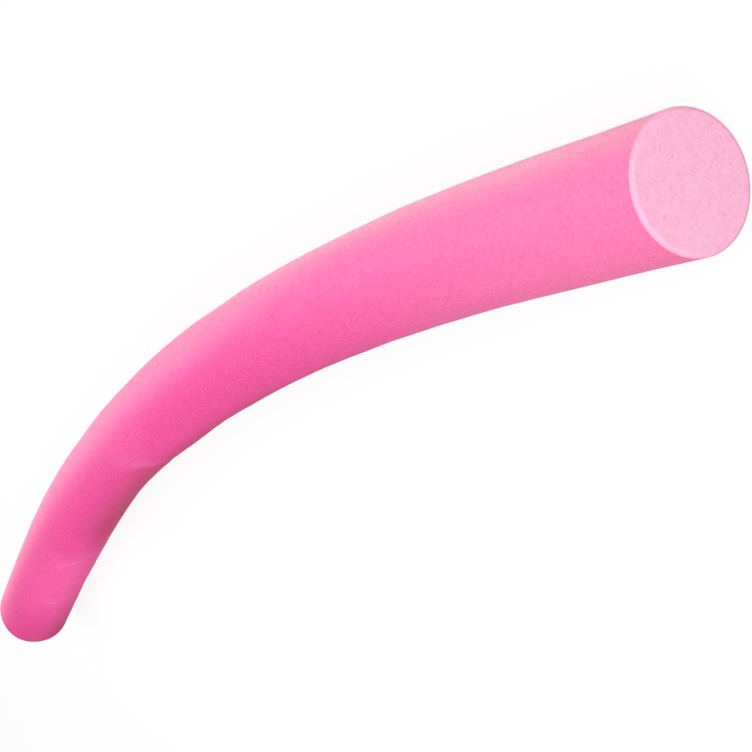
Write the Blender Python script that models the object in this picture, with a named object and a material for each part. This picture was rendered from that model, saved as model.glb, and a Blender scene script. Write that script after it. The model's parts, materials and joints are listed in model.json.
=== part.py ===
"""A solid-core foam pool noodle, lying on its side in the gentle arch that use has left in it.

The real noodle is one extrusion whose only motion is its flexing. Here it is a row of foam lengths that
hinge on each other about upright axes, so the row bends and springs back as the foam does. Every cross cut
is a standing round knuckle that seats in a hollow of the same curve, so the row stays closed as it bends.

Metres, +Z up. The near end is towards -X and the far end towards +X. The origin is under the middle of the
noodle's box, on the surface that the noodle lies on.
"""

import math

import bmesh
import bpy
import numpy as np
from mathutils import Matrix, Vector

# Driving sizes of the noodle, in metres.
LENGTH = 1.219  # along the middle line, from cut face to cut face
DIAMETER = 0.0635
RIM_ROUND = 0.0022  # the cut ends' edges are rounded over by this much
WAIST_DEPTH = 0.00155  # how far the skin is drawn in where the foam has once been folded
WAIST_REACH = 0.114  # along the noodle, from the middle of that waist to where it fades out
CUT_GAP = 0.0003  # clearance between a knuckle and its hollow

# Shape in shares and degrees.
WAIST_PLACE_SHARE = 0.654  # of the length, from the near end
NEAR_CUT_LEAN_DEG = 3.0  # the top of each cut face stands out further than its foot
NEAR_CUT_SKEW_DEG = 1.6  # and the near cut is a little askew, seen from above
FAR_CUT_LEAN_DEG = 3.8
FAR_CUT_SKEW_DEG = 0.4
REST_TURNS_DEG = (0.7, 1.2, 1.8, 2.1, 2.1, 2.1, 2.3, 2.8, 2.8, 2.0, 1.2, 0.4)  # to the left, in each twelfth
MOST_TURN_DEG = 13.5  # of one length against the next, counted from straight: the noodle is then nearly a ring
LIP_DEG = 20.0  # between a hollow's face and the skin where the two meet, and never less than the most turn

# The row of lengths.
COUNT = 24
ROOT = 12  # the length that stays put when the others bend, counted from 0 at the near end

# Facets.
SIDES = 40  # a multiple of four, so one facet lies flat underneath
ROWS = 2  # cross sections along a length, between its ends
RIM_STEPS = 3
SHARP_DEG = 35.0  # edges that turn more than this are shaded sharp

# Sizes that follow.
RADIUS = DIAMETER / 2
PITCH = LENGTH / COUNT
KNUCKLE_RADIUS = RADIUS / math.cos(math.radians(LIP_DEG))
SHOULDER = RADIUS * math.tan(math.radians(LIP_DEG))  # from a hinge to where its knuckle meets the skin
AXIS_HEIGHT = RADIUS * math.cos(math.pi / SIDES)

SKIN_PINK = (0.95, 0.15, 0.41, 1.0)
CORE_PINK = (0.97, 0.45, 0.68, 1.0)


def clear_scene():
    """Removes what the file started with."""
    for obj in list(bpy.data.objects):
        bpy.data.objects.remove(obj, do_unlink=True)


def foam(name, colour, roughness):
    """A plain foam material."""
    material = bpy.data.materials.new(name)
    material.use_nodes = True
    shader = material.node_tree.nodes["Principled BSDF"]
    shader.inputs["Base Color"].default_value = colour
    shader.inputs["Roughness"].default_value = roughness
    shader.inputs["Metallic"].default_value = 0.0
    return material


def walk(station, heading=0.0):
    """Follows the middle line from the near end: the plan point and the heading at a station along it."""
    point = Vector((0.0, 0.0))
    stretch = LENGTH / len(REST_TURNS_DEG)
    for index, turn in enumerate(REST_TURNS_DEG):
        run = min(max(station - index * stretch, 0.0), stretch)
        bend = math.radians(turn) * run / stretch
        chord = run * (math.sin(bend / 2) / (bend / 2) if bend else 1.0)
        middle = heading + bend / 2
        point += Vector((math.cos(middle), math.sin(middle))) * chord
        heading += bend
    return point, heading


def start_heading():
    """The heading at the near end that puts both ends on a line along X."""
    end, _ = walk(LENGTH)
    return -math.atan2(end.y, end.x)


def skin_radius(station):
    """The noodle's radius at a station, drawn in at the waist."""
    away = (station - WAIST_PLACE_SHARE * LENGTH) / WAIST_REACH
    return RADIUS - WAIST_DEPTH * math.exp(-away * away)


def section(station, heading):
    """The cross section at a station, as SIDES points round the middle line, and the way it faces."""
    point, facing = walk(station, heading)
    ahead = np.array((math.cos(facing), math.sin(facing), 0.0))
    left = np.array((-ahead[1], ahead[0], 0.0))
    up = np.array((0.0, 0.0, 1.0))
    angles = (np.arange(SIDES) + 0.5) * 2 * math.pi / SIDES
    radius = skin_radius(station)
    across, above = radius * np.cos(angles), radius * np.sin(angles)
    points = np.array((point.x, point.y, AXIS_HEIGHT)) + np.outer(across, left) + np.outer(above, up)
    return points, ahead, across, above


def knuckle_row(station, heading, radius):
    """The section just past a hinge's station, slid ahead until it lies on a cylinder round that hinge."""
    hinge, _ = walk(station, heading)
    points, ahead, _, _ = section(station + SHOULDER, heading)
    offset = points[:, :2] - np.array((hinge.x, hinge.y))
    along = offset @ ahead[:2]
    beside_squared = (offset**2).sum(axis=1) - along**2
    slide = np.sqrt(radius**2 - beside_squared) - along
    return points + np.outer(slide, ahead)


def cut_slopes(lean_deg, skew_deg):
    """How far a cut runs ahead for each metre above, and to the left of, the middle line."""
    return math.tan(math.radians(lean_deg)), -math.tan(math.radians(skew_deg))


def cut_row(station, heading, lean_deg, skew_deg):
    """The section at a cut end. Lean tips the cut's top forwards, and skew its right side."""
    points, ahead, across, above = section(station, heading)
    up_slope, left_slope = cut_slopes(lean_deg, skew_deg)
    return points + np.outer(up_slope * above + left_slope * across, ahead)


def rows_of(index, heading):
    """All cross sections of one length, from its near side to its far side."""
    hinge, next_hinge = index * PITCH, (index + 1) * PITCH
    if index == 0:
        first, start = cut_row(0.0, heading, -NEAR_CUT_LEAN_DEG, -NEAR_CUT_SKEW_DEG), 0.0
    else:
        first, start = knuckle_row(hinge, heading, KNUCKLE_RADIUS + CUT_GAP), hinge + KNUCKLE_RADIUS
    if index == COUNT - 1:
        last, end = cut_row(LENGTH, heading, FAR_CUT_LEAN_DEG, FAR_CUT_SKEW_DEG), LENGTH
    else:
        last, end = knuckle_row(next_hinge, heading, KNUCKLE_RADIUS), next_hinge + SHOULDER
    between = np.linspace(start, end, ROWS + 2)[1:-1]
    return [first, *(section(station, heading)[0] for station in between), last]


def close_cut(bm, row):
    """Closes a cut end with its flat face, rounds its rim, and gives both the look of the core."""
    face = bm.faces.new(row)
    face.material_index = 1
    made = bmesh.ops.bevel(
        bm,
        geom=list(face.edges),
        offset=RIM_ROUND,
        offset_type="OFFSET",
        segments=RIM_STEPS,
        profile=0.5,
        affect="EDGES",
    )
    for rounded in made["faces"]:
        rounded.material_index = 1


def close_knuckle(bm, row):
    """Closes a knuckle or a hollow with upright strips, each between two columns of its row's points."""
    for k in range(SIDES // 2 - 1):
        bm.faces.new((row[k], row[k + 1], row[SIDES - 2 - k], row[SIDES - 1 - k]))


def foam_mesh(name, index, rows):
    """One length as a closed mesh: a tube through its rows, with its two ends closed."""
    bm = bmesh.new()
    loops = [[bm.verts.new(point) for point in row] for row in rows]
    for loop, after in zip(loops, loops[1:]):
        for k in range(SIDES):
            beside = (k + 1) % SIDES
            bm.faces.new((loop[k], loop[beside], after[beside], after[k]))
    if index > 0:
        close_knuckle(bm, loops[0])
    if index < COUNT - 1:
        close_knuckle(bm, loops[-1])
    if index == 0:
        close_cut(bm, loops[0][::-1])
    if index == COUNT - 1:
        close_cut(bm, loops[-1])
    bmesh.ops.recalc_face_normals(bm, faces=bm.faces)
    mesh = bpy.data.meshes.new(name)
    bm.to_mesh(mesh)
    bm.free()
    return mesh


def length_name(index):
    """A plain name for a length, counted from the near end."""
    if index == 0:
        return "near_end"
    if index == COUNT - 1:
        return "far_end"
    return f"foam_length_{index + 1:02d}"


def hinge_matrix(index, heading, centre):
    """Where a length's own frame stands: on the hinge to its parent, or in its middle for the root."""
    if index == ROOT:
        station = (ROOT + 0.5) * PITCH
    else:
        station = (index if index > ROOT else index + 1) * PITCH
    point, facing = walk(station, heading)
    place = Matrix.Translation((point.x - centre[0], point.y - centre[1], AXIS_HEIGHT))
    return place @ Matrix.Rotation(facing, 4, "Z")


def build_length(index, rows, heading, centre, materials):
    """Makes one length's object, with its origin on its hinge and its X axis along the noodle."""
    name = length_name(index)
    mesh = foam_mesh(name, index, rows)
    matrix = hinge_matrix(index, heading, centre)
    mesh.transform(matrix.inverted() @ Matrix.Translation((-centre[0], -centre[1], 0.0)))
    for material in materials:
        mesh.materials.append(material)
    mesh.shade_smooth()
    mesh.set_sharp_from_angle(angle=math.radians(SHARP_DEG))
    obj = bpy.data.objects.new(name, mesh)
    bpy.context.scene.collection.objects.link(obj)
    return obj, matrix


def hang_on_parents(built):
    """Parents each length to the one beside it on the root's side, so a turn about Z carries all beyond it."""
    for index, (obj, matrix) in enumerate(built):
        if index == ROOT:
            obj.matrix_basis = matrix
            continue
        parent, parent_matrix = built[index - 1 if index > ROOT else index + 1]
        obj.parent = parent
        obj.matrix_basis = parent_matrix.inverted() @ matrix


def print_hinges(built):
    """Prints each hinge's place, and its range about the rest pose, where a positive turn bends the arch more."""
    for joint in range(1, COUNT):
        _, before = walk((joint - 0.5) * PITCH)
        _, after = walk((joint + 0.5) * PITCH)
        rest = math.degrees(after - before)
        place = built[joint if joint > ROOT else joint - 1][1].translation
        print(
            f"bend_{joint:02d} at {place.x:.5f} {place.y:.5f} {place.z:.5f},",
            f"{-MOST_TURN_DEG - rest:.2f} to {MOST_TURN_DEG - rest:.2f} degrees",
        )


def print_cut(name, station, heading, centre, lean_deg, skew_deg, way):
    """Prints a cut face's centre and the way it faces, which is ahead if way is 1 and back if it is -1."""
    point, facing = walk(station, heading)
    ahead = Vector((math.cos(facing), math.sin(facing), 0.0))
    left = Vector((-ahead.y, ahead.x, 0.0))
    up_slope, left_slope = cut_slopes(lean_deg, skew_deg)
    normal = way * (ahead - up_slope * Vector((0.0, 0.0, 1.0)) - left_slope * left).normalized()
    print(
        f"{name} at {point.x - centre[0]:.5f} {point.y - centre[1]:.5f} {AXIS_HEIGHT:.5f},",
        f"facing {normal.x:.5f} {normal.y:.5f} {normal.z:.5f}",
    )


def main():
    """Builds the noodle."""
    clear_scene()
    materials = (foam("foam_skin", SKIN_PINK, 0.55), foam("foam_core", CORE_PINK, 0.8))
    heading = start_heading()
    lengths = [rows_of(index, heading) for index in range(COUNT)]
    plan = np.concatenate([np.concatenate(rows) for rows in lengths])[:, :2]
    centre = (plan.min(axis=0) + plan.max(axis=0)) / 2
    built = [build_length(index, rows, heading, centre, materials) for index, rows in enumerate(lengths)]
    hang_on_parents(built)
    print_hinges(built)
    print_cut("near_cut_face", 0.0, heading, centre, -NEAR_CUT_LEAN_DEG, -NEAR_CUT_SKEW_DEG, -1)
    print_cut("far_cut_face", LENGTH, heading, centre, FAR_CUT_LEAN_DEG, FAR_CUT_SKEW_DEG, 1)


main()
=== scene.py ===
"""The looks of a solid-core foam pool noodle that lies on its side in a gentle arch.

Metres, +Z up. The near end is towards -X and the far end towards +X, and the arch bows towards -Y, so its
inner side faces +Y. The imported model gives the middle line: the middles of both cut faces, and the hinges in
between. A place on the skin is told by its station, in metres along the middle line from the near cut, and
by its angle round it, where 0 is the inner side of the arch and a quarter turn is the top.
"""

import json
import logging
import math
from dataclasses import dataclass
from enum import Enum
from typing import Any, ClassVar, Sequence

import bpy
import numpy as np
from mathutils import Matrix, Vector

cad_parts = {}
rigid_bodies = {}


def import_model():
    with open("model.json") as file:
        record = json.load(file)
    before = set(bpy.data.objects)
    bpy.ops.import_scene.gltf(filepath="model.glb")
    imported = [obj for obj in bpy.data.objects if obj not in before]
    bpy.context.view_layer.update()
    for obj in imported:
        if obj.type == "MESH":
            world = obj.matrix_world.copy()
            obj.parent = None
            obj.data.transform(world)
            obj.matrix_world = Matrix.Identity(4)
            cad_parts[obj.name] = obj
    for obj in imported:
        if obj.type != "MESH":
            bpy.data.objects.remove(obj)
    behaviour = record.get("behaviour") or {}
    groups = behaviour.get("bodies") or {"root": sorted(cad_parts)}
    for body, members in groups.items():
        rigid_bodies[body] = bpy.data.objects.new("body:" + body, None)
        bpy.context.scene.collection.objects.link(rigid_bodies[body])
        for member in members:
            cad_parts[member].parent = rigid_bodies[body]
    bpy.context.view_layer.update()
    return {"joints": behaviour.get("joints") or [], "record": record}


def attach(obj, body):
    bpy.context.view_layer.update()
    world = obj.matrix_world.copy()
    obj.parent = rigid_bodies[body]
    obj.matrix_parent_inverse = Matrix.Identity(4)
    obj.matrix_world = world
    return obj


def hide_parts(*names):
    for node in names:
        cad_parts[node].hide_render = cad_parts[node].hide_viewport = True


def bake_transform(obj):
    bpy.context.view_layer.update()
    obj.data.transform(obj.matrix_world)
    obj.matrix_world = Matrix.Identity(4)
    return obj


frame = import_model()

LOG = logging.getLogger("noodle")

WHITE = (1.0, 1.0, 1.0, 1.0)
SHARP = math.radians(60)  # an edge that turns by more than this isn't shaded smooth
FOAM_IOR = 1.49
NOISE_MEAN = 0.5
BLOT = 0.9  # the breadth of a noise's blots, in the noise's own units
CELL_SOFTNESS = 0.35  # how far the walls between the foam's cells are rounded off

Array = np.ndarray
Pair = tuple[float, float]
Place = tuple[float, float, float]
Colour = tuple[float, float, float, float]


class End(Enum):
    """The two cut ends: which body each belongs to, its mount, and which way along the noodle it faces."""

    NEAR = ("near_end", "near_cut_face", -1.0)
    FAR = ("far_end", "far_cut_face", 1.0)

    def __init__(self, body: str, mount: str, way: float) -> None:
        """Keeps the end's names and its way.

        Args:
            body: the frame's body that carries the end.
            mount: the record's mount in the middle of the cut face.
            way: 1 if the cut faces ahead along the middle line, and -1 if it faces back.
        """
        self.body = body
        self.mount = mount
        self.way = way


def mount_at(end: End) -> dict[str, Any]:
    """The record's mount in the middle of an end's cut face."""
    return next(mount for mount in frame["record"]["mounts"] if mount["name"] == end.mount)


def ease(value: Array, low: Array | float, high: Array | float) -> Array:
    """0 up to low, 1 from high on, and in between 3 times the square of the share less 2 times its cube.

    Args:
        value: what is compared with low and high.
        low: where the result leaves 0.
        high: where it reaches 1.

    Returns:
        A number from 0 to 1 for each value.
    """
    share = np.clip((value - low) / (high - low), 0.0, 1.0)
    return share * share * (3 - 2 * share)


def between(ends: Pair, share: Array) -> Array:
    """The number at that share of the way from the first of a pair to the second."""
    return ends[0] + (ends[1] - ends[0]) * share


def wrapped(angle: Array) -> Array:
    """The same angle, between minus and plus half a turn: that of the complex number exp(i * angle)."""
    return np.angle(np.exp(1j * angle))


def whole_turn(count: int) -> Array:
    """That many angles from 0, evenly round a whole turn."""
    return np.arange(count) * 2 * math.pi / count


def link(name: str, data: Any) -> bpy.types.Object:
    """Puts a new object at the scene's origin.

    Args:
        name: its name.
        data: its mesh, lamp or camera.

    Returns:
        The object.
    """
    obj = bpy.data.objects.new(name, data)
    bpy.context.scene.collection.objects.link(obj)
    return obj


def add_object(mesh: bpy.types.Mesh, material: bpy.types.Material) -> bpy.types.Object:
    """An object of the same name as its mesh, with one material."""
    mesh.materials.append(material)
    return link(mesh.name, mesh)


class MiddleLine:
    """The noodle's middle line, a smooth curve through knots that lie one pitch apart."""

    def __init__(self) -> None:
        """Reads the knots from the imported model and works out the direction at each."""
        joints = sorted(frame["joints"], key=lambda joint: joint["name"])
        places = [mount_at(End.NEAR)["pos_m"]]
        places += [joint["pos_m"] for joint in joints]
        places += [mount_at(End.FAR)["pos_m"]]
        self.knots: Array = np.array(places, float)
        self.pitch: float = float(np.linalg.norm(np.diff(self.knots, axis=0), axis=1).mean())
        self.length: float = self.pitch * (len(self.knots) - 1)
        self.bodies: list[str] = self._bodies(joints)
        self.slopes: Array = np.gradient(self.knots, axis=0, edge_order=2)

    @staticmethod
    def _bodies(joints: Sequence[dict[str, Any]]) -> list[str]:
        """The bodies in order from the near end, found by stepping across one joint after another.

        Args:
            joints: the frame's joints, in order from the near end.

        Returns:
            One name for each length of foam.
        """
        row = [End.NEAR.body]
        for joint in joints:
            pair = {joint["parent"], joint["child"]}
            row.append((pair - {row[-1]}).pop())
        return row

    def place(self, station: Array) -> Array:
        """Points on the middle line: between two knots, the cubic that has both knots' places and slopes.

        Args:
            station: metres along the line, of any shape, and past the ends too.

        Returns:
            The points, with one more axis of 3.
        """
        count = np.asarray(station, float) / self.pitch
        knot = np.clip(np.floor(count).astype(int), 0, len(self.knots) - 2)
        before, after = self.knots[knot], self.knots[knot + 1]
        leaving, arriving = self.slopes[knot], self.slopes[knot + 1]
        s = (count - knot)[..., None]
        gone = s * s * (3 - 2 * s)
        return before * (1 - gone) + after * gone + leaving * s * (1 - s) ** 2 - arriving * s * s * (1 - s)

    def ahead(self, station: Array) -> Array:
        """The unit vector along the line at each station.

        Args:
            station: metres along the line.

        Returns:
            The vectors, from the places a thousandth of a pitch to either side.
        """
        step = self.pitch / 1000
        way = self.place(station + step) - self.place(station - step)
        return way / np.linalg.norm(way, axis=-1, keepdims=True)

    def sides(self, station: Array) -> tuple[Array, Array]:
        """The unit vectors to the inner side of the arch and up, square to the line at each station.

        Args:
            station: metres along the line.

        Returns:
            The vectors to the inner side, and those that point up.
        """
        ahead = self.ahead(station)
        up = np.broadcast_to(np.array((0.0, 0.0, 1.0)), ahead.shape)
        inner = np.cross(up, ahead)
        return inner / np.linalg.norm(inner, axis=-1, keepdims=True), up


@dataclass(frozen=True)
class Swell:
    """A soft rise or hollow: its height times a bell, exp(-the square of the distance from its middle).

    That distance is 1 at its reach along the noodle, and 1 at its spread round it.
    """

    station: float  # of its middle
    angle_deg: float  # of its middle
    reach: float  # half its length along the noodle, in metres
    spread_deg: float  # half its breadth round the noodle
    height: float  # in metres, below zero for a hollow, or the share of a tone
    slant_deg: float = 0.0  # how much further round its middle lies for each reach ahead

    def away(self, station: Array) -> Array:
        """How many reaches each station lies ahead of its middle."""
        return (station - self.station) / self.reach

    def crest(self, station: Array) -> Array:
        """Its height over its own middle, at each station."""
        return self.height * np.exp(-(self.away(station) ** 2))

    def rise(self, station: Array, angle: Array) -> Array:
        """Its height at each place.

        Args:
            station: metres along the line.
            angle: radians round it.

        Returns:
            The heights.
        """
        along = self.away(station)
        middle = np.radians(self.angle_deg + self.slant_deg * along)
        across = wrapped(angle - middle) / np.radians(self.spread_deg)
        return self.height * np.exp(-(along**2) - across**2)


@dataclass(frozen=True)
class Waves:
    """The extruder's faint unevenness: a sum of waves that run along and round the noodle."""

    steepness: float = 0.0035  # of each wave: its height over its length, times a whole turn
    count: int = 16
    longest: float = 0.30  # from crest to crest along the noodle
    shortest: float = 0.022
    most_round: int = 5  # whole waves round the noodle
    seed: int = 11

    def rise(self, station: Array, angle: Array) -> Array:
        """The sum of sines, each of its own length along, whole number of turns round, and start.

        Args:
            station: metres along the line.
            angle: radians round it.

        Returns:
            How far the waves lift the skin at each place, in metres.
        """
        draw = np.random.default_rng(self.seed)
        total = np.zeros(np.broadcast(station, angle).shape)
        for length in np.geomspace(self.longest, self.shortest, self.count):
            turns = int(draw.integers(1, self.most_round + 1))
            start, around = draw.uniform(0, 2 * math.pi, 2)
            height = self.steepness * length / (2 * math.pi)
            along = 2 * math.pi * station / length
            total += height * np.sin(along + start) * np.cos(turns * angle + around)
        return total


@dataclass(frozen=True)
class Skin:
    """The skin as a function of station and angle: a round section, pressed in where it has been folded."""

    line: MiddleLine
    radius: float = 0.03175
    press: float = 0.0031  # how deep the inner side is drawn in at the old fold
    press_share: float = 0.654  # of the length: the middle of that hollow
    press_reach: float = 0.114
    press_angle_deg: float = -4.0
    press_spread_deg: float = 47.0
    ground: float = 0.0  # the height of the floor that the noodle rests on
    slope_step: float = 0.0002  # how far to either side of a place its slope is taken
    waves: Waves = Waves()

    def waist(self) -> Swell:
        """The long, shallow hollow that the old fold left in the inner side."""
        station = self.press_share * self.line.length
        return Swell(station, self.press_angle_deg, self.press_reach, self.press_spread_deg, -self.press)

    def swells(self) -> tuple[Swell, ...]:
        """The smaller rises and hollows that use has left."""
        return (
            # the kink at the old fold, and the ridge under the painted highlight fan above it
            Swell(0.655, -2, 0.012, 26, 0.0002),
            Swell(0.694, 48, 0.016, 34, 0.0007, slant_deg=16),
            Swell(0.706, -4, 0.010, 30, -0.0007, slant_deg=4),
            # the uneven inner side past the fold
            Swell(0.835, -4, 0.055, 36, -0.0008),
            Swell(1.100, -8, 0.032, 34, -0.0009),
            Swell(0.735, 16, 0.030, 17, -0.0007, slant_deg=-4),
            Swell(0.878, 14, 0.032, 19, -0.0008, slant_deg=3),
            Swell(0.985, 8, 0.055, 34, 0.0006),
            # the two faint creases
            Swell(0.986, 35, 0.0080, 5, 0.00035, slant_deg=13),
            Swell(0.980, 41, 0.0080, 7, -0.00030, slant_deg=13),
            Swell(1.100, 35, 0.0030, 17, 0.00020),
            # shallow dents elsewhere
            Swell(0.512, 132, 0.040, 25, -0.0003),
            Swell(0.255, 60, 0.055, 30, -0.00025),
            Swell(0.330, 235, 0.060, 28, -0.0004),
            Swell(0.770, 250, 0.050, 30, -0.0004),
        )

    def offset(self, station: Array) -> Array:
        """How far the section moves to the inner side: half the hollow, so that it stays on the line."""
        return -self.waist().crest(station) / 2

    def reach(self, station: Array, angle: Array) -> Array:
        """The skin's distance from the section's middle: the radius, plus the waves and all swells.

        Args:
            station: metres along the line.
            angle: radians round it.

        Returns:
            The distances, in metres.
        """
        total = self.radius + self.waves.rise(station, angle)
        for swell in (self.waist(), *self.swells()):
            total += swell.rise(station, angle)
        return total

    def points(self, station: Array, angle: Array, inset: Array | float = 0.0) -> Array:
        """Points of the skin, or inside it: the middle, plus the reach along the way that the angle points.

        Args:
            station: metres along the line.
            angle: radians round it.
            inset: how far below the skin, in metres.

        Returns:
            The points, none lower than the ground that the noodle rests on.
        """
        inner, up = self.line.sides(station)
        reach = self.reach(station, angle) - inset
        middle = self.line.place(station) + self.offset(station)[..., None] * inner
        out = np.cos(angle)[..., None] * inner + np.sin(angle)[..., None] * up
        points = middle + reach[..., None] * out
        points[..., 2] = np.maximum(points[..., 2], self.ground)
        return points

    def normals(self, station: Array, angle: Array) -> Array:
        """Unit vectors square to the skin: the cross product of its slopes round and along.

        Args:
            station: metres along the line.
            angle: radians round it.

        Returns:
            The vectors, which point outwards.
        """
        step, turn = self.slope_step, self.slope_step / self.radius
        along = self.points(station + step, angle) - self.points(station - step, angle)
        about = self.points(station, angle + turn) - self.points(station, angle - turn)
        out = np.cross(about, along)
        return out / np.linalg.norm(out, axis=-1, keepdims=True)


class Patch:
    """A closed piece of foam: a tube of rows, each a ring of points, with a centre point at either end."""

    def __init__(self, rows: Array, start: Array, end: Array) -> None:
        """Joins the rows by four-sided faces and closes each end with a fan.

        Args:
            rows: rings of points, rows by sides by 3, each ring turning from the inner side to the top.
            start: the centre point before the first ring.
            end: the centre point after the last ring.
        """
        row_count, sides = rows.shape[:2]
        self.points: Array = np.concatenate((rows.reshape(-1, 3), start[None], end[None]))
        ring = np.arange(sides)
        beside = np.roll(ring, -1)
        first = (np.arange(row_count - 1) * sides)[:, None]
        quads = np.stack((first + ring, first + beside, first + sides + beside, first + sides + ring))
        self.quads: Array = np.moveaxis(quads, 0, -1).reshape(-1, 4)
        last = (row_count - 1) * sides
        centres = row_count * sides
        self.start_fan: Array = np.stack((beside, ring, np.full(sides, centres)), axis=1)
        self.end_fan: Array = np.stack((last + ring, last + beside, np.full(sides, centres + 1)), axis=1)

    def mesh(self, name: str, shares: dict[str, Array], normals: Array | None = None) -> bpy.types.Mesh:
        """Puts the points and faces into a mesh, and keeps shares on it for its material to read.

        Args:
            name: the mesh's name.
            shares: under each name, a number for every point of the rings. The two centre points get 0.
            normals: for a piece whose fans are hidden cuts, the skin's normals at the rings' points.
                Without them the piece is shaded by its own faces.

        Returns:
            The mesh, with its faces outwards.
        """
        mesh = bpy.data.meshes.new(name)
        faces = self.quads.tolist() + self.start_fan.tolist() + self.end_fan.tolist()
        mesh.from_pydata(self.points.tolist(), [], faces)
        mesh.shade_smooth()
        mesh.set_sharp_from_angle(angle=SHARP)
        if normals is not None:
            mesh.normals_split_custom_set(self._corner_normals(normals))
        mesh.validate()
        for key, share in shares.items():
            values = np.append(share.ravel(), (0.0, 0.0)).astype(np.float32)
            mesh.attributes.new(key, "FLOAT", "POINT").data.foreach_set("value", values)
        return mesh

    def _corner_normals(self, normals: Array) -> Array:
        """A normal for each face corner: the skin's own on the tube, and the cut's on each fan.

        Args:
            normals: the skin's normals at the rings' points.

        Returns:
            Unit vectors, in the order of the mesh's corners.
        """
        parts = [normals.reshape(-1, 3)[self.quads.ravel()]]
        for fan in (self.start_fan, self.end_fan):
            a, b, c = (self.points[fan[:, k]] for k in range(3))
            square = np.cross(b - a, c - a).sum(axis=0)
            square = square / np.linalg.norm(square)
            parts.append(np.broadcast_to(square, (fan.size, 3)))
        return np.concatenate(parts)


class Wire:
    """A value in a material: an output socket on which Python's operators add Math nodes."""

    def __init__(self, graph: "Graph", socket: bpy.types.NodeSocket) -> None:
        """Keeps the socket and the graph that it belongs to."""
        self.graph = graph
        self.socket = socket

    def _math(self, operation: str, first: Any, second: Any) -> "Wire":
        """One Math node on two values."""
        return self.graph.add("ShaderNodeMath", {"operation": operation}, {0: first, 1: second})

    def __add__(self, other: Any) -> "Wire":
        """self + other."""
        return self._math("ADD", self, other)

    __radd__ = __add__

    def __sub__(self, other: Any) -> "Wire":
        """self - other."""
        return self._math("SUBTRACT", self, other)

    def __rsub__(self, other: Any) -> "Wire":
        """other - self."""
        return self._math("SUBTRACT", other, self)

    def __mul__(self, other: Any) -> "Wire":
        """self * other."""
        return self._math("MULTIPLY", self, other)

    __rmul__ = __mul__

    def over(self, low: float, high: float) -> "Wire":
        """0 up to low, 1 from high on, and even in between.

        Args:
            low: where the result leaves 0.
            high: where it reaches 1.

        Returns:
            The result's socket.
        """
        settings = {"interpolation_type": "LINEAR", "clamp": True}
        inputs = {"Value": self, "From Min": low, "From Max": high}
        return self.graph.add("ShaderNodeMapRange", settings, inputs)


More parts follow.
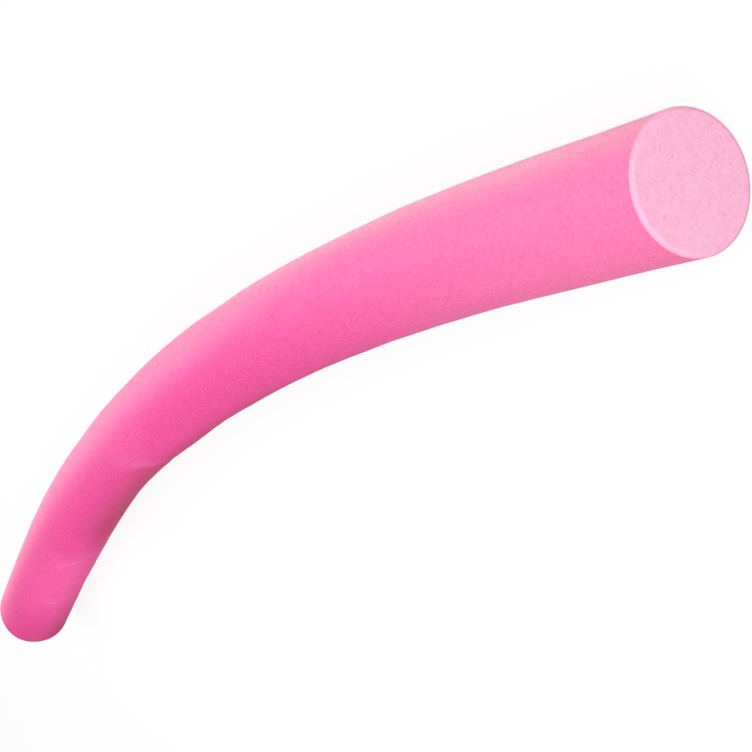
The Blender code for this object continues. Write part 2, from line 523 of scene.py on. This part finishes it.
class Graph:
    """The nodes of a material or of the world, and the one way in which this file adds them."""

    def __init__(self, owner: bpy.types.Material | bpy.types.World) -> None:
        """Empties the owner's node tree.

        Args:
            owner: the material or the world.
        """
        owner.use_nodes = True
        self.owner = owner
        self.tree = owner.node_tree
        self.tree.nodes.clear()

    @classmethod
    def material(cls, name: str) -> "Graph":
        """The graph of a new material of that name."""
        return cls(bpy.data.materials.new(name))

    def add(self, kind: str, settings: dict[str, Any], inputs: dict[Any, Any], output: Any = 0) -> Wire:
        """Adds a node: its type, its settings first, and then its sockets.

        Args:
            kind: the node's type.
            settings: its properties by name.
            inputs: what goes into each socket, by its name or number: a Wire or a plain value.
            output: the name or number of the socket that is handed back.

        Returns:
            That output socket.
        """
        node = self.tree.nodes.new(kind)
        for name, value in settings.items():
            setattr(node, name, value)
        for key, value in inputs.items():
            if isinstance(value, Wire):
                self.tree.links.new(value.socket, node.inputs[key])
            else:
                node.inputs[key].default_value = value
        return Wire(self, node.outputs[output] if len(node.outputs) else None)

    def place(self, kind: str = "Object") -> Wire:
        """The place on the object, in metres, or for the world the way that a ray takes."""
        return self.add("ShaderNodeTexCoord", {}, {}, kind)

    def stored(self, name: str) -> Wire:
        """The share that a mesh keeps under this name."""
        return self.add("ShaderNodeAttribute", {"attribute_name": name}, {}, "Fac")

    def drawn_out(self, stretch: float) -> Wire:
        """The place, squeezed along X, so that a pattern on it is drawn out along the noodle."""
        inputs = {0: self.place(), 1: (1 / stretch, 1.0, 1.0)}
        return self.add("ShaderNodeVectorMath", {"operation": "MULTIPLY"}, inputs)

    def noise(self, grain: float, detail: float = 1.0, stretch: float = 1.0) -> Wire:
        """Soft noise about 0, whose blots are about grain metres across and stretch times as long."""
        inputs = {"Vector": self.drawn_out(stretch), "Scale": BLOT / grain, "Detail": detail}
        return self.add("ShaderNodeTexNoise", {"noise_dimensions": "3D"}, inputs, "Fac") - NOISE_MEAN

    def cells(self, width: float, stretch: float = 1.0) -> Wire:
        """The distance from the middle of a foam cell, 0 there and about 0.7 at the wall."""
        inputs = {"Vector": self.drawn_out(stretch), "Scale": 1 / width, "Smoothness": CELL_SOFTNESS}
        return self.add("ShaderNodeTexVoronoi", {"feature": "SMOOTH_F1"}, inputs, "Distance")

    def blend(self, share: Any, first: Any, second: Any) -> Wire:
        """A colour between two, the first at share 0."""
        settings = {"data_type": "RGBA", "clamp_factor": True}
        return self.add("ShaderNodeMix", settings, {0: share, 6: first, 7: second}, 2)

    def bump(self, height: Wire, depth: float, strength: float) -> Wire:
        """A normal from a height that counts as depth metres for each 1."""
        inputs = {"Height": height, "Distance": depth, "Strength": strength}
        return self.add("ShaderNodeBump", {}, inputs, "Normal")

    def seen(self) -> Wire:
        """Tells what is seen, straight, in a gloss or through glass, from light that is passed on.

        Returns:
            1 for what is seen, and 0 for the rest.
        """
        names = ("Is Camera Ray", "Is Glossy Ray", "Is Transmission Ray")
        camera, glossy, through = (self.add("ShaderNodeLightPath", {}, {}, name) for name in names)
        return (camera + glossy + through).over(0.0, 1.0)

    def foam(self, colour: Wire, roughness: Wire, normal: Wire, gloss: float) -> bpy.types.Material:
        """Ends the material as foam.

        Args:
            colour: the foam's colour.
            roughness: from 0, a mirror, to 1, dull.
            normal: the surface's normal with its bumps.
            gloss: how bright the gloss is, where 0.5 is that of plain plastic.

        Returns:
            The material.
        """
        inputs = {"Base Color": colour, "Roughness": roughness, "Normal": normal}
        inputs |= {"IOR": FOAM_IOR, "Specular IOR Level": gloss}
        return self.finish(self.add("ShaderNodeBsdfPrincipled", {}, inputs))

    def finish(self, surface: Wire) -> bpy.types.Material | bpy.types.World:
        """Sends a shader to the output.

        Args:
            surface: the shader.

        Returns:
            The material or the world that the graph belongs to.
        """
        world = isinstance(self.owner, bpy.types.World)
        kind = "ShaderNodeOutputWorld" if world else "ShaderNodeOutputMaterial"
        self.add(kind, {}, {"Surface": surface})
        return self.owner


@dataclass(frozen=True)
class SkinFinish:
    """The noodle's own skin: matt pink with painted light, sheen and shade and a few faint marks, under flecks
    that follow the foam's cells.
    """

    pink: Colour = (0.900, 0.084, 0.345, 1.0)
    painted_near_light_tint: Colour = (0.900, 0.185, 0.405, 1.0)  # painted light: paler at the near end
    painted_outer_sheen: Colour = (0.900, 0.380, 0.510, 1.0)  # painted sheen: paler on the outer side
    painted_deep_shade: Colour = (0.890, 0.037, 0.315, 1.0)  # painted shade: deeper from the inner side up to the top
    painted_shade: Colour = (0.660, 0.012, 0.160, 1.0)  # painted shade: darkest, along the inner side and at the far end
    painted_light_and_marks_tint: Colour = (0.920, 0.165, 0.450, 1.0)  # a painted highlight on the old fold, a patch of painted light, and the faint marks
    fleck: Colour = (0.700, 0.015, 0.210, 1.0)
    cell: float = 0.0016  # the breadth of a cell
    grain: float = 0.0011  # of a speck
    mottle: float = 0.013  # of a soft blot
    mottle_detail: float = 2.0
    stretch: float = 1.25  # how much longer than broad the cells and specks are
    mean_cell: float = 0.4  # the mean distance from a cell's middle
    grain_flecks: float = 1.6  # how much each pattern adds to the flecks
    cell_flecks: float = 0.36
    mottle_flecks: float = 0.2
    mean_flecks: float = 0.22
    flecks_lost: float = 0.4  # the share of the flecks that the painted light at the near end takes away
    grain_bump: float = 0.8  # how much each pattern adds to the bumps
    cell_bump: float = 0.5
    bump_depth: float = 0.00016
    bump_strength: float = 0.55
    roughness: float = 0.6
    grain_roughness: float = 0.16
    gloss: float = 0.25

    def material(self) -> bpy.types.Material:
        """Lays each tone over the last by the share that the skin keeps for it, and then the flecks."""
        graph = Graph.material("foam_skin")
        cells = graph.cells(self.cell, self.stretch)
        grain = graph.noise(self.grain, stretch=self.stretch)
        mottle = graph.noise(self.mottle, self.mottle_detail)
        # the share of painted light at the near end
        painted_near_light = graph.stored(PaintedNearLight.name)
        # painted shade, deeper from the inner side up to the top
        colour = graph.blend(graph.stored(PaintedDeepShade.name), self.pink, self.painted_deep_shade)
        colour = graph.blend(painted_near_light, colour, self.painted_near_light_tint)
        # painted sheen on the outer side of the arch
        colour = graph.blend(graph.stored(PaintedOuterSheen.name), colour, self.painted_outer_sheen)
        # painted shade along the inner side and at the far end's corner and rim
        colour = graph.blend(graph.stored(PaintedShade.name), colour, self.painted_shade)
        # painted highlight and painted light, and the faint marks
        colour = graph.blend(graph.stored(PaintedLightAndMarks.name), colour, self.painted_light_and_marks_tint)
        patterns = grain * self.grain_flecks + (self.mean_cell - cells) * self.cell_flecks
        patterns = patterns + mottle * self.mottle_flecks + self.mean_flecks
        colour = graph.blend(patterns * (1 - painted_near_light * self.flecks_lost), colour, self.fleck)
        height = cells * self.cell_bump - grain * self.grain_bump
        normal = graph.bump(height, self.bump_depth, self.bump_strength)
        return graph.foam(colour, self.roughness + grain * self.grain_roughness, normal, self.gloss)


@dataclass(frozen=True)
class CutFinish:
    """The cut foam: open cells, paler than the skin, with darker pits, and a rim in the skin's pink."""

    pale: Colour = (0.985, 0.500, 0.700, 1.0)
    pit: Colour = (0.860, 0.330, 0.540, 1.0)
    skin: Colour = (0.900, 0.240, 0.350, 1.0)  # the skin's pink as it shows at the rim
    cell: float = 0.0018  # the breadth of a cell
    grain: float = 0.0013  # of a speck
    blot: float = 0.0042  # of a patch of pits
    pit_edge: Pair = (0.12, 0.5)  # how far from a cell's middle its pit starts to go out, and has gone
    blot_edge: Pair = (-0.12, 0.16)  # the blots' noise where pits start to show, and show in full
    pit_tone: float = 0.34  # how much each pattern adds to the pits' colour
    grain_tone: float = 1.1
    blot_tone: float = 0.4
    mean_tone: float = 0.21
    grain_bump: float = 0.7  # how much the specks add to the cells' bumps
    bump_depth: float = 0.00015
    bump_strength: float = 0.4
    roughness: float = 0.8
    grain_roughness: float = 0.1
    gloss: float = 0.5

    def material(self) -> bpy.types.Material:
        """Pits lie at the cells' middles, in soft patches, and the rim takes on the skin's pink."""
        graph = Graph.material("foam_cut")
        cells = graph.cells(self.cell)
        grain = graph.noise(self.grain)
        blots = graph.noise(self.blot)
        pits = (1 - cells.over(*self.pit_edge)) * blots.over(*self.blot_edge)
        tone = pits * self.pit_tone + grain * self.grain_tone + blots * self.blot_tone + self.mean_tone
        foam = graph.blend(tone, self.pale, self.pit)
        colour = graph.blend(graph.stored(CutEnd.rim_name), foam, self.skin)
        normal = graph.bump(cells + grain * self.grain_bump, self.bump_depth, self.bump_strength)
        return graph.foam(colour, self.roughness + grain * self.grain_roughness, normal, self.gloss)


@dataclass(frozen=True)
class CutShape:
    """A cut end's shape: the plane it lies in, and how its rim is rounded."""

    end: End
    skin: Skin
    rim: float = 0.0020  # the radius to which it is rounded

    def slopes(self) -> Pair:
        """The lean of the cut plane, from the way that its mount faces.

        Returns:
            How far it runs ahead for each metre to the inner side, and for each metre up.
        """
        station = self.station()
        inner, up = self.skin.line.sides(station)
        facing = np.array(mount_at(self.end)["axis"], float)
        along = facing @ self.skin.line.ahead(station)
        return float(-(facing @ inner) / along), float(-(facing @ up) / along)

    def station(self) -> float:
        """Where the middle of the cut face lies."""
        return 0.0 if self.end is End.NEAR else self.skin.line.length

    def edge(self, angle: Array, depth: Array | float, inset: Array | float = 0.0) -> Array:
        """The station of a ring in the cut: the plane's own, less its depth below the cut face.

        Args:
            angle: radians round the middle line.
            depth: metres below the cut face.
            inset: metres inside the skin.

        Returns:
            A station for each angle.
        """
        to_inner, to_up = self.slopes()
        reach = self.skin.radius - inset
        tilt = reach * (to_inner * np.cos(angle) + to_up * np.sin(angle))
        return self.station() + tilt - self.end.way * depth


@dataclass(frozen=True)
class Window:
    """A stretch of stations or angles with soft ends."""

    opens: Pair  # it comes in from the first of these to the second
    closes: Pair  # and goes out in the same way
    kept: float = 0.0  # the share that stays once it has gone out

    def share(self, value: Array) -> Array:
        """0 before the stretch, 1 in it, and the kept share past it."""
        return ease(value, *self.opens) * (1 - (1 - self.kept) * ease(value, *self.closes))


class Tone:
    """Where the foam's pink is painted paler or deeper, mostly as painted light, sheen and shade: a share that
    the skin keeps and its finish reads.

    The fields of a tone give stations in metres and angles in degrees.
    """

    name: ClassVar[str]

    def share(self, station: Array, angle: Array) -> Array:
        """How much of the tone there is at each place.

        Args:
            station: metres along the line.
            angle: radians round it.

        Returns:
            A number from 0 to 1 for each place.
        """
        raise NotImplementedError


@dataclass(frozen=True)
class PaintedNearLight(Tone):
    """Painted light: paler at the near end."""

    name: ClassVar[str] = "painted_near_light"
    reach: float = 0.30  # the station where it is down to a third

    def share(self, station: Array, angle: Array) -> Array:
        """A bell about the near cut, exp(-the square of the station over the reach), alike all round."""
        return np.exp(-((station / self.reach) ** 2)) * np.ones_like(angle)


@dataclass(frozen=True)
class PaintedOuterSheen(Tone):
    """Painted sheen: paler on the outer side of the arch, in a strip that is wider past the bend."""

    name: ClassVar[str] = "painted_outer_sheen"
    bend: Pair = (0.22, 0.78)  # the stations over which the strip widens
    starts: Pair = (126, 50)  # the angle where it comes in, before the bend and past it
    fills: Pair = (165, 148)  # the angle where it is full
    curve: Pair = (1.3, 2.05)  # the power by which it comes in
    goes_out: Pair = (200, 280)  # the angles over which it goes out again, underneath
    strength: float = 0.8  # at the near cut
    gain: float = 0.2
    gains: Pair = (0.0, 0.12)  # the stations over which it gains that
    loss: float = 0.40
    loses: Pair = (0.30, 0.62)  # and over which it loses that

    def share(self, station: Array, angle: Array) -> Array:
        """The strength at each station, times a power of the way from the start to the full angle.

        Args:
            station: metres along the line.
            angle: radians round it.

        Returns:
            The share at each place.
        """
        turn = np.degrees(angle) % 360
        past = ease(station, *self.bend)
        start, full = between(self.starts, past), between(self.fills, past)
        rise = np.clip((turn - start) / (full - start), 0.0, 1.0) ** between(self.curve, past)
        gained = self.gain * ease(station, *self.gains)
        strength = self.strength + gained - self.loss * ease(station, *self.loses)
        return strength * rise * (1 - ease(turn, *self.goes_out))


@dataclass(frozen=True)
class PaintedDeepShade(Tone):
    """Painted shade: deeper in colour from the inner side of the arch to the top."""

    name: ClassVar[str] = "painted_deep_shade"
    along: Window = Window((0.0, 0.32), (0.84, 1.0), kept=0.2)  # its stations
    bend: Pair = (0.40, 0.60)  # the stations over which it narrows
    full: Pair = (25, 15)  # how far round it is full, before the bend and past it
    gone: Pair = (90, 75)  # how far round it has gone out

    def share(self, station: Array, angle: Array) -> Array:
        """Full up to one angle to either side and gone from another, both of which change past the bend.

        Args:
            station: metres along the line.
            angle: radians round it.

        Returns:
            The share at each place.
        """
        past = ease(station, *self.bend)
        turn = np.degrees(np.abs(wrapped(angle)))
        band = 1 - ease(turn, between(self.full, past), between(self.gone, past))
        return self.along.share(station) * band


@dataclass(frozen=True)
class PaintedShade(Tone):
    """Painted shade, the darkest tone: along the inner side, and at the far end's lower corner and rim."""

    name: ClassVar[str] = "painted_shade"
    far_cut: CutShape
    side: Window = Window((0.12, 0.55), (0.90, 0.98))  # the stations of the band along the inner side
    hollow: Window = Window((0.688, 0.712), (0.89, 0.96))  # and those past the old fold, where it is wider
    middle: Pair = (0, -4)  # the angle of the band's middle, outside that hollow and in it
    full: Pair = (6, 12)  # how far to either side of that it is full
    gone: Pair = (36, 74)  # and how far to either side it has gone out
    side_curve: float = 1.4  # the power by which it goes out
    corner: Pair = (1.12, 1.20)  # the stations over which the corner comes in
    corner_middle: float = -25  # its angle
    corner_edge: Pair = (12, 52)  # how far to either side it is full, and gone
    corner_strength: float = 0.8
    rim: Pair = (0.001, 0.007)  # how far from the far cut its rim is full, and gone
    rim_strength: float = 0.5

    def share(self, station: Array, angle: Array) -> Array:
        """The greatest of the band's share, the corner's and the rim's.

        Args:
            station: metres along the line.
            angle: radians round it.

        Returns:
            The share at each place.
        """
        turn = np.degrees(wrapped(angle))
        inside = self.hollow.share(station)
        aside = np.abs(turn - between(self.middle, inside))
        band = 1 - ease(aside, between(self.full, inside), between(self.gone, inside))
        side = self.side.share(station) * band**self.side_curve
        corner = 1 - ease(np.abs(turn - self.corner_middle), *self.corner_edge)
        corner = self.corner_strength * ease(station, *self.corner) * corner
        rim = self.rim_strength * (1 - ease(self.far_cut.edge(angle, 0.0) - station, *self.rim))
        return np.maximum(side, np.maximum(corner, rim))


@dataclass(frozen=True)
class PaintedHighlightFan:
    """A painted highlight on the ridge of the old fold: a fan from a tip low on the inner side up to the top.

    It grows paler from its back edge to its front edge, where it ends sharply, more softly higher up.
    """

    tip: float = 0.686  # the station where it starts
    tip_deg: float = 22
    rise_deg: float = 70  # how far above its tip it is widest
    back: float = 0.095  # how far it has spread back towards the near end by then
    ahead: float = 0.060  # and how far ahead
    back_curve: float = 1.7  # the powers by which the two edges spread
    front_curve: float = 0.9
    edge: float = 0.006  # half the breadth over which the front edge goes out at the tip
    edge_growth: float = 4  # how many times as much is added to that at its widest
    pale_curve: float = 0.6  # the power by which it grows paler
    strength: float = 0.6
    height: Window = Window((16, 32), (50, 110))  # its angles

    def share(self, station: Array, turn: Array) -> Array:
        """The share of the way from the back edge to the front one, as a power, faded at its ends and top.

        Args:
            station: metres along the line.
            turn: degrees round it.

        Returns:
            The share at each place.
        """
        spread = np.clip((turn - self.tip_deg) / self.rise_deg, 0.0, 1.0)
        back = self.tip - self.back * spread**self.back_curve
        front = self.tip + self.ahead * spread**self.front_curve
        across = np.clip((station - back) / (front - back + self.edge), 0.0, 1.0)
        edge = self.edge * (1 + self.edge_growth * spread)
        within = 1 - ease((station - front) / edge, -1, 1)
        return self.strength * across**self.pale_curve * within * self.height.share(turn)


@dataclass(frozen=True)
class PaintedLightAndMarks(Tone):
    """Paler: a painted highlight fan above the old fold, a patch of painted light past it, and a few faint
    marks.
    """

    name: ClassVar[str] = "painted_light_and_marks"
    # the painted highlight on the ridge of the old fold
    fan: PaintedHighlightFan = PaintedHighlightFan()
    # a patch of painted light on the inner side past the fold
    painted_light_along: Window = Window((0.955, 0.985), (1.100, 1.190))
    painted_light_round: Window = Window((0, 25), (60, 100))
    painted_light_strength: float = 0.30
    marks: tuple[Swell, ...] = (
        Swell(0.986, 35, 0.0080, 4, 1.0, slant_deg=13),
        Swell(0.999, 47, 0.0060, 4, 0.6),
        Swell(1.100, 35, 0.0030, 16, 0.7),
    )

    def share(self, station: Array, angle: Array) -> Array:
        """The sum of the fan, the rubbed patch and the marks, kept between 0 and 1.

        Args:
            station: metres along the line.
            angle: radians round it.

        Returns:
            The share at each place.
        """
        turn = np.degrees(wrapped(angle))
        # painted light on the inner side past the fold
        painted_light = self.painted_light_strength * self.painted_light_along.share(station) * self.painted_light_round.share(turn)
        marked = sum(mark.rise(station, angle) for mark in self.marks)
        return np.clip(self.fan.share(station, turn) + painted_light + marked, 0.0, 1.0)


@dataclass
class SkinLengths:
    """The skin, in one closed piece over each hinge, the pieces meeting as one smooth tube."""

    skin: Skin
    cuts: dict[End, CutShape]
    tones: tuple[Tone, ...]
    sides: int = 240
    rows_per_pitch: int = 60

    def build(self, material: bpy.types.Material) -> None:
        """Makes every piece, from mid-length to mid-length over its hinge, and hides the imported lengths that
        the pieces cover.

        Args:
            material: the skin's finish.
        """
        line = self.skin.line
        for joint in range(1, len(line.bodies)):
            name = f"skin_{joint:02d}"
            obj = add_object(self._mesh(name, joint), material)
            before, after = line.bodies[joint - 1], line.bodies[joint]
            half = line.pitch / 2
            start, end = line.place(np.array((joint * line.pitch - half, joint * line.pitch + half)))
            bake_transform(obj)
            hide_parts(before, *((after,) if joint == len(line.bodies) - 1 else ()))
            LOG.info("%s bends between %s and %s", name, before, after)

    def _mesh(self, name: str, joint: int) -> bpy.types.Mesh:
        """One piece: rows from its start station to its end station, and the hidden cuts that close it.

        Args:
            name: the mesh's name.
            joint: the number of its hinge, 1 at the near end.

        Returns:
            The mesh, with a share of every tone at each point.
        """
        line = self.skin.line
        angle = whole_turn(self.sides)
        start = np.full(self.sides, (joint - 0.5) * line.pitch)
        end = np.full(self.sides, (joint + 0.5) * line.pitch)
        if joint == 1:
            start = self.cuts[End.NEAR].edge(angle, self.cuts[End.NEAR].rim)
        if joint == len(line.bodies) - 1:
            end = self.cuts[End.FAR].edge(angle, self.cuts[End.FAR].rim)
        count = round(self.rows_per_pitch * float(np.mean(end - start)) / line.pitch)
        share = np.linspace(0.0, 1.0, count + 1)[:, None]
        station = start * (1 - share) + end * share
        around = np.broadcast_to(angle, station.shape)
        rows = self.skin.points(station, around)
        patch = Patch(rows, rows[0].mean(axis=0), rows[-1].mean(axis=0))
        shares = {tone.name: tone.share(station, around) for tone in self.tones}
        return patch.mesh(name, shares, self.skin.normals(station, around))


@dataclass
class CutEnd:
    """One cut end: the flat face of open cells and the rounded rim that leads to the skin."""

    rim_name: ClassVar[str] = "skin"  # under which the mesh keeps the share of the skin's pink
    shape: CutShape
    sides: int = 240
    rim_rows: int = 10
    face_rows: int = 46
    rim_strength: float = 0.6
    rim_edge: Pair = (-0.2, 0.8)  # the skin's pink goes out over these insets, in radii of the rim

    def build(self, material: bpy.types.Material) -> None:
        """Makes the slice of foam that the cut lays open, riding on its end's body.

        Args:
            material: the cut foam's finish.
        """
        end = self.shape.end
        obj = add_object(self._mesh(f"{end.body}_cut"), material)
        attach(obj, end.body)
        LOG.info("%s rides on %s", obj.name, end.body)

    def _mesh(self, name: str) -> bpy.types.Mesh:
        """Rings from the hidden back of the slice, round the rim by a quarter circle, and in over the face.

        Args:
            name: the mesh's name.

        Returns:
            The mesh, with the share of the skin's pink at each point.
        """
        shape, skin = self.shape, self.shape.skin
        turn = np.linspace(0.0, math.pi / 2, self.rim_rows + 1)[:, None]
        rim_depth = shape.rim * (1 - np.sin(turn))
        rim_inset = shape.rim * (1 - np.cos(turn))
        last_share = 1 / (self.face_rows + 1)
        inwards = np.linspace(0.0, 1 - last_share, self.face_rows)[1:, None]
        face_inset = shape.rim + (skin.radius - shape.rim) * inwards
        depth = np.concatenate((rim_depth, np.zeros_like(face_inset)))
        inset = np.concatenate((rim_inset, face_inset))
        depth, inset, around = np.broadcast_arrays(depth, inset, whole_turn(self.sides))
        rows = skin.points(shape.edge(around, depth, inset), around, inset)
        pink = self.rim_strength * (1 - ease(inset / shape.rim, *self.rim_edge))
        back = rows[0].mean(axis=0)
        middle = skin.line.place(np.array(shape.station()))
        if shape.end is End.NEAR:
            return Patch(rows[::-1], middle, back).mesh(name, {self.rim_name: pink[::-1]})
        return Patch(rows, back, middle).mesh(name, {self.rim_name: pink})


@dataclass(frozen=True)
class Eye:
    """The camera: where it stands, which way it looks, and its lens."""

    place: Place = (-1.29065, 0.06318, 0.54467)
    heading_deg: float = -1.913
    down_deg: float = 26.50
    roll_deg: float = -119.286
    lens_mm: float = 98.257
    film_mm: float = 36.0
    nearest: float = 0.01  # it sees nothing closer than this
    farthest: float = 100.0  # or farther than this

    def build(self) -> None:
        """Makes the scene's camera: level and looking along +X, turned by heading, look and roll."""
        camera = bpy.data.cameras.new("camera")
        camera.sensor_width = self.film_mm
        camera.lens = self.lens_mm
        camera.clip_start = self.nearest
        camera.clip_end = self.farthest
        obj = link("camera", camera)
        level = Matrix(((0, 0, -1), (-1, 0, 0), (0, 1, 0))).to_4x4()
        turned = Matrix.Rotation(math.radians(self.heading_deg), 4, "Z")
        tipped = Matrix.Rotation(math.radians(self.down_deg), 4, "Y")
        rolled = Matrix.Rotation(math.radians(self.roll_deg), 4, "Z")
        obj.matrix_world = Matrix.Translation(self.place) @ turned @ tipped @ level @ rolled
        bpy.context.scene.camera = obj


@dataclass(frozen=True)
class Softbox:
    """A soft studio lamp: a rectangle that faces a point near the noodle, hidden from the camera."""

    name: str
    place: Place
    aim: Place
    strength: float  # of its surface, where 1 is white
    width: float
    height: float

    def build(self) -> None:
        """Makes the lamp; its power in watts is its strength times pi times its area."""
        light = bpy.data.lights.new(self.name, "AREA")
        light.shape = "RECTANGLE"
        light.size = self.width
        light.size_y = self.height
        light.energy = self.strength * math.pi * self.width * self.height
        obj = link(self.name, light)
        obj.location = self.place
        obj.rotation_mode = "QUATERNION"
        obj.rotation_quaternion = (Vector(self.aim) - obj.location).to_track_quat("-Z", "Y")
        obj.visible_camera = False


@dataclass(frozen=True)
class Studio:
    """A white floor under a white sky, and the softboxes."""

    sky: float = 0.40  # the light that the sky sheds
    sky_slope: float = 0.6  # how much more it sheds from the outer side, and less from the inner side
    gloss_sky: float = 0.2  # what a gloss shows of it
    backdrop_top: float = 0.05  # how high the white backdrop stands, as the sine of the angle from level
    backdrop_fade: float = 0.15  # and where it has faded into the sky
    floor_bounce: float = 0.24
    floor_radius: float = 30.0
    floor_sides: int = 64
    shadow: float = 0.14  # how much of the noodle's shadow shows on the floor
    shadow_near: float = 1.3  # as far as this the floor shows all of that share
    shadow_far: float = 2.4  # and past this none

    def softboxes(self) -> tuple[Softbox, ...]:
        """Three large lamps round the noodle, and small ones close to it that shape the light along it."""
        middle = (0.0, 0.0, 0.03)
        return (
            Softbox("front_lamp", (-2.25, 0.0, 1.33), middle, 5.6, 1.5, 1.5),
            Softbox("outer_lamp", (0.0, -2.57, 0.39), middle, 2.6, 1.5, 1.0),
            Softbox("far_lamp", (2.20, -1.15, 0.50), middle, 3.6, 1.5, 1.0),
            Softbox("low_lamp", (-0.35, -0.8, 0.15), (-0.10, 0.0, 0.03), 3.2, 0.5, 0.5),
            Softbox("inner_lamp", (-0.65, 0.6, 0.60), (-0.2, 0.0, 0.03), 4.4, 0.5, 0.5),
            Softbox("top_lamp", (0.6, 0.0, 0.85), (0.95, 0.0, 0.03), 2.2, 0.5, 0.5),
            Softbox("middle_lamp", (0.06, 0.25, 0.45), (0.06, 0.0, 0.03), 2.2, 0.3, 0.3),
            Softbox("tip_lamp", (0.43, 0.19, 0.09), (0.42, 0.02, 0.03), 5.5, 0.08, 0.08),
        )

    def build(self) -> None:
        """Makes the floor, the sky and the lamps."""
        self._floor()
        self._sky()
        for softbox in self.softboxes():
            softbox.build()
            LOG.info("%s stands", softbox.name)

    def _floor(self) -> None:
        """A round floor, white to the eye but for a soft shadow, and greyer as a bounce of light."""
        graph = Graph.material("floor")
        bounce = graph.add("ShaderNodeBsdfDiffuse", {}, {"Color": (self.floor_bounce,) * 3 + (1.0,)})
        pale = graph.add("ShaderNodeBsdfDiffuse", {}, {"Color": WHITE})
        white = graph.add("ShaderNodeEmission", {}, {"Color": WHITE, "Strength": 1.0})
        away = graph.add("ShaderNodeVectorMath", {"operation": "LENGTH"}, {0: graph.place()}, "Value")
        share = (1 - away.over(self.shadow_near, self.shadow_far)) * self.shadow
        shown = graph.add("ShaderNodeMixShader", {}, {0: share, 1: white, 2: pale})
        surface = graph.add("ShaderNodeMixShader", {}, {0: graph.seen(), 1: bounce, 2: shown})
        angle = whole_turn(self.floor_sides)
        ring = np.stack((np.cos(angle), np.sin(angle), np.zeros_like(angle)), axis=1) * self.floor_radius
        mesh = bpy.data.meshes.new("floor")
        mesh.from_pydata(ring.tolist(), [], [list(range(self.floor_sides))])
        add_object(mesh, graph.finish(surface))

    def _sky(self) -> None:
        """Pale light from all round: white to the eye, and in a gloss white up to the backdrop's top."""
        world = bpy.data.worlds.new("sky")
        bpy.context.scene.world = world
        graph = Graph(world)
        way = graph.place("Generated")
        rise = graph.add("ShaderNodeSeparateXYZ", {}, {0: way}, "Z")
        inwards = graph.add("ShaderNodeSeparateXYZ", {}, {0: way}, "Y")
        backdrop = 1 - rise.over(self.backdrop_top, self.backdrop_fade)
        camera = graph.add("ShaderNodeLightPath", {}, {}, "Is Camera Ray")
        shown = (camera + backdrop).over(0.0, 1.0) * (1 - self.gloss_sky) + self.gloss_sky
        seen = graph.seen()
        strength = seen * shown + (1 - seen) * (1 - inwards * self.sky_slope) * self.sky
        graph.finish(graph.add("ShaderNodeBackground", {}, {"Color": WHITE, "Strength": strength}))


def main() -> None:
    """Builds the camera, the noodle and the studio, in that order."""
    logging.basicConfig(level=logging.INFO, format="%(name)s: %(message)s")
    bpy.context.scene.view_settings.view_transform = "Standard"
    Eye().build()
    skin = Skin(MiddleLine())
    cuts = {end: CutShape(end, skin) for end in End}
    tones = (PaintedNearLight(), PaintedOuterSheen(), PaintedDeepShade(), PaintedShade(cuts[End.FAR]), PaintedLightAndMarks())
    SkinLengths(skin, cuts, tones).build(SkinFinish().material())
    cut_material = CutFinish().material()
    for cut in cuts.values():
        CutEnd(cut).build(cut_material)
    Studio().build()


if __name__ == "__main__":
    main()
